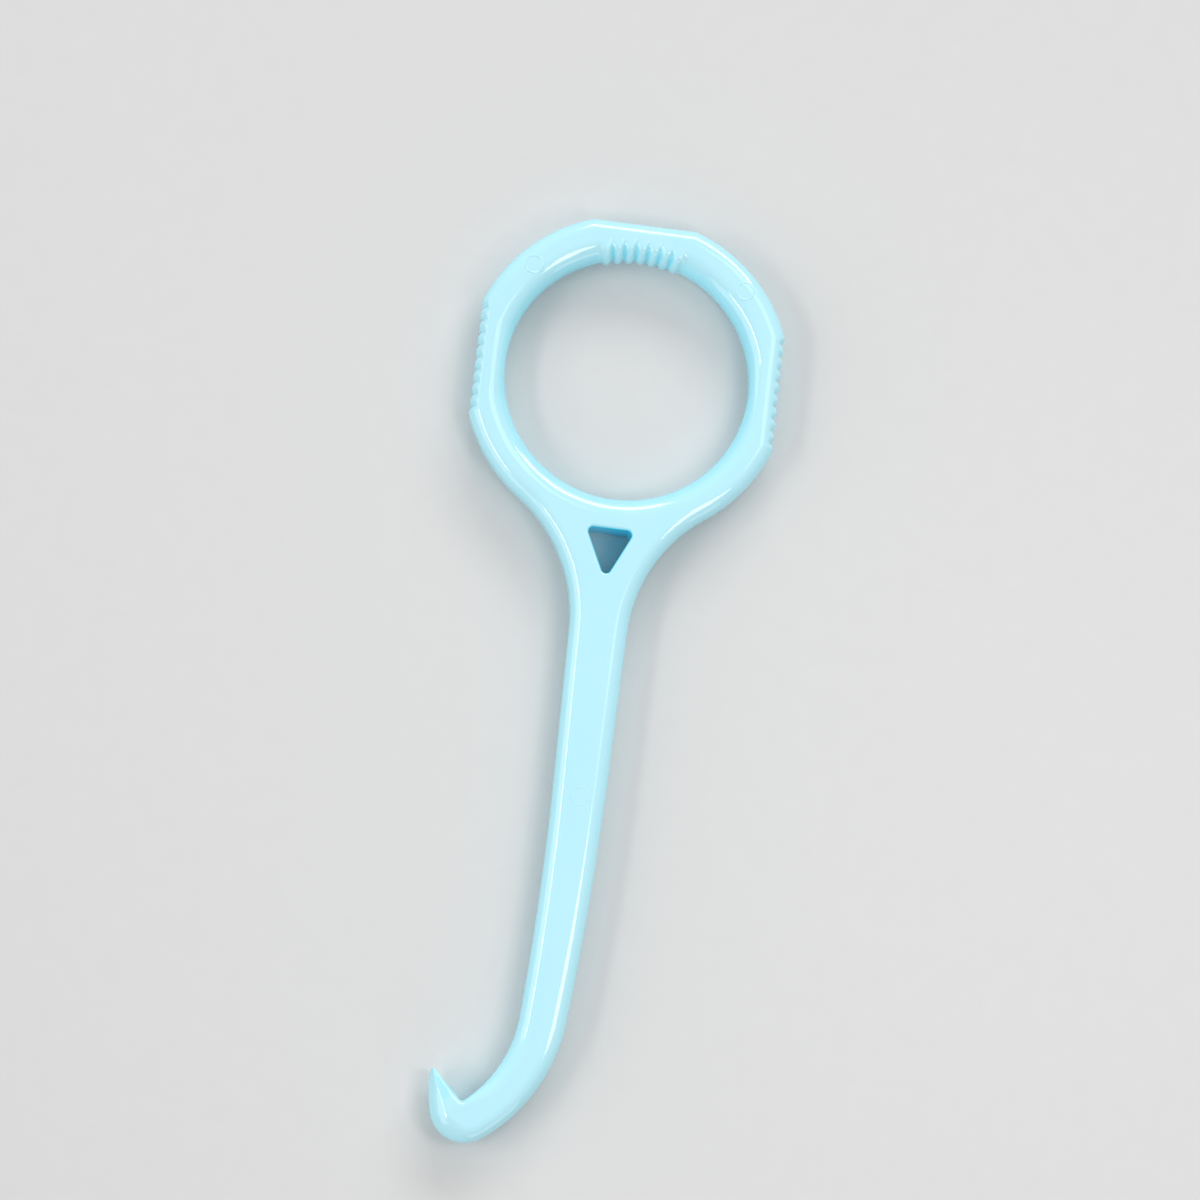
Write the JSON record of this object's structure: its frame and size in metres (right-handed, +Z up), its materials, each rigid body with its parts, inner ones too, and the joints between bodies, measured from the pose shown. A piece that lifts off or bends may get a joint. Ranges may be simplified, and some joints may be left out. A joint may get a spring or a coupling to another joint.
{
  "type": "aligner removal hook",
  "caption": "Flat one-piece plastic hand hook with a grip-flatted finger ring, a three-cornered eye in its neck, a slim shank and a pointed barb for pulling clear aligners off teeth",
  "frame": {"origin": "Centre of the bounding box, on the flat back face that the tool lies on", "axes": "+Y runs along the tool from the hook to the finger ring, +Z goes up through its thickness, and the barb points to -X"},
  "size_m": [0.0306, 0.0926, 0.0046],
  "materials": {
    "light_blue_plastic": "glossy, slightly translucent light blue moulding"
  },
  "bodies": {
    "root": {"finger_ring": "light_blue_plastic", "neck": "light_blue_plastic", "shank": "light_blue_plastic", "hook": "light_blue_plastic"}
  },
  "joints": []
}
